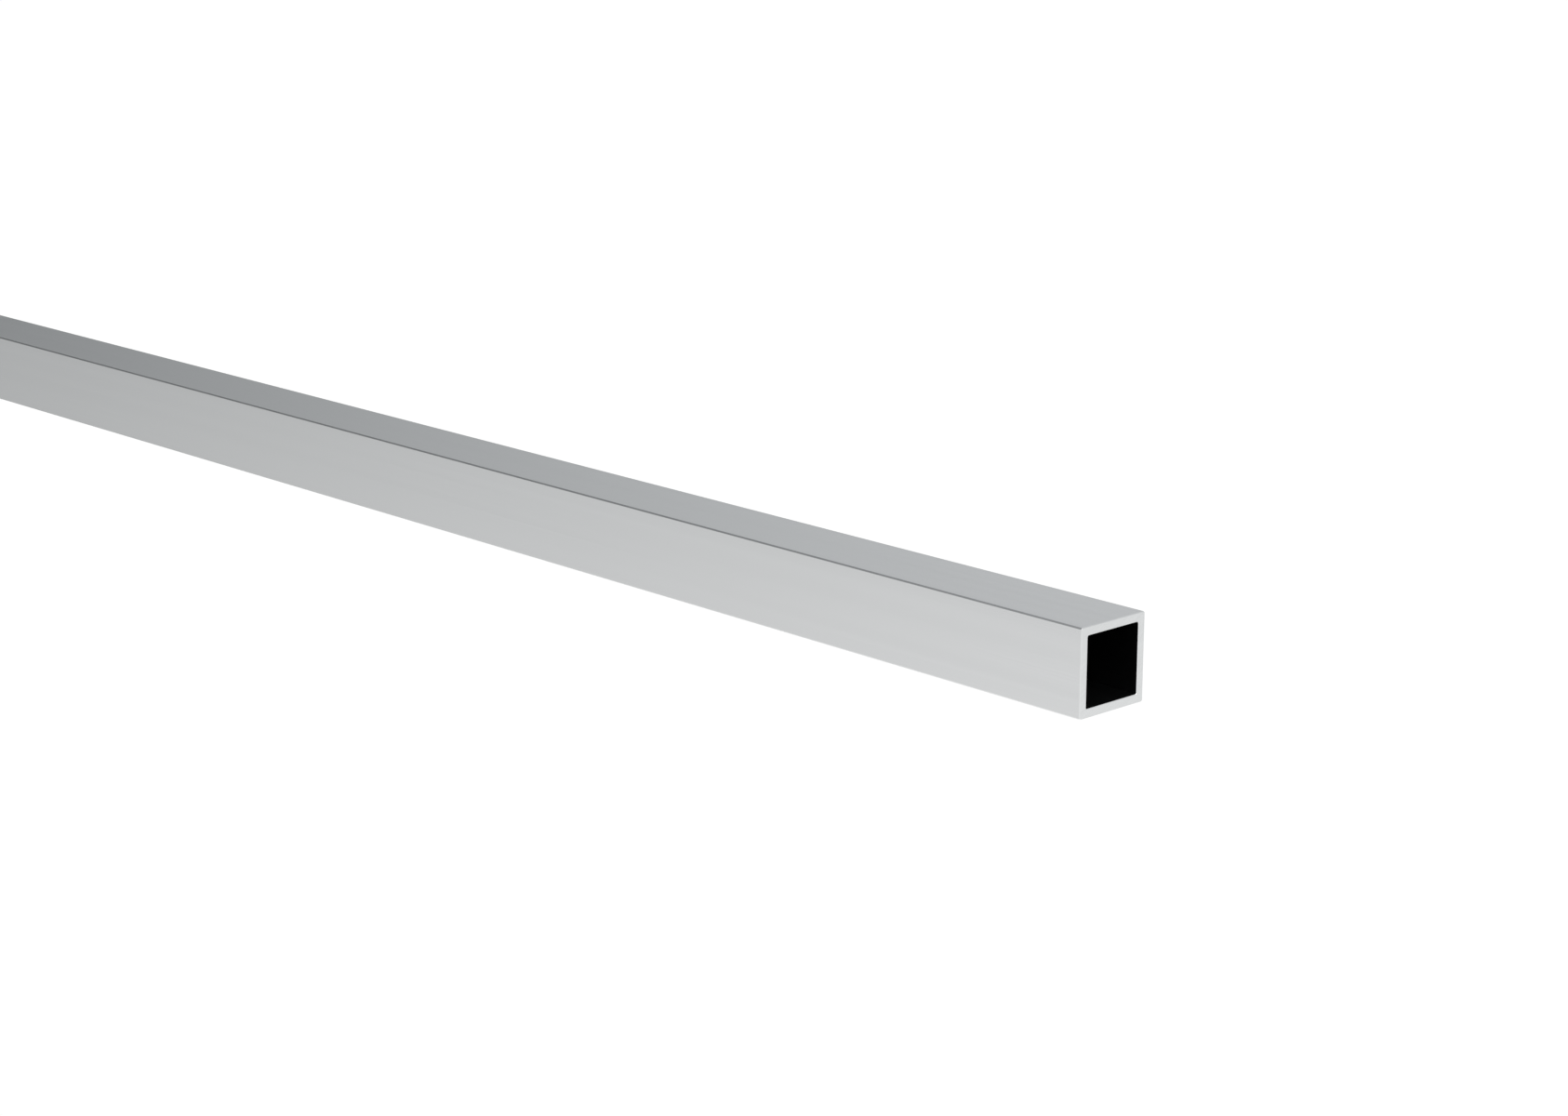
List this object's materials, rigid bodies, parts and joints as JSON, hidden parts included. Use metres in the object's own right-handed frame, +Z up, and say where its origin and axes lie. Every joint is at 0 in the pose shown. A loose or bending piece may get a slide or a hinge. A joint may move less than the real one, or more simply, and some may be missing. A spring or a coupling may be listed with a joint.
{
  "type": "square metal tube",
  "caption": "Straight length of square aluminium tube with an open square bore and plain sawn ends, for frames and brackets.",
  "frame": {"origin": "middle of the bottom face, halfway along the tube", "axes": "+X along the tube, +Z up out of the top face, -Y out of the front face"},
  "size_m": [1, 0.02, 0.02],
  "materials": {
    "aluminium": "satin"
  },
  "bodies": {
    "root": {"square_tube": "aluminium"}
  },
  "joints": []
}
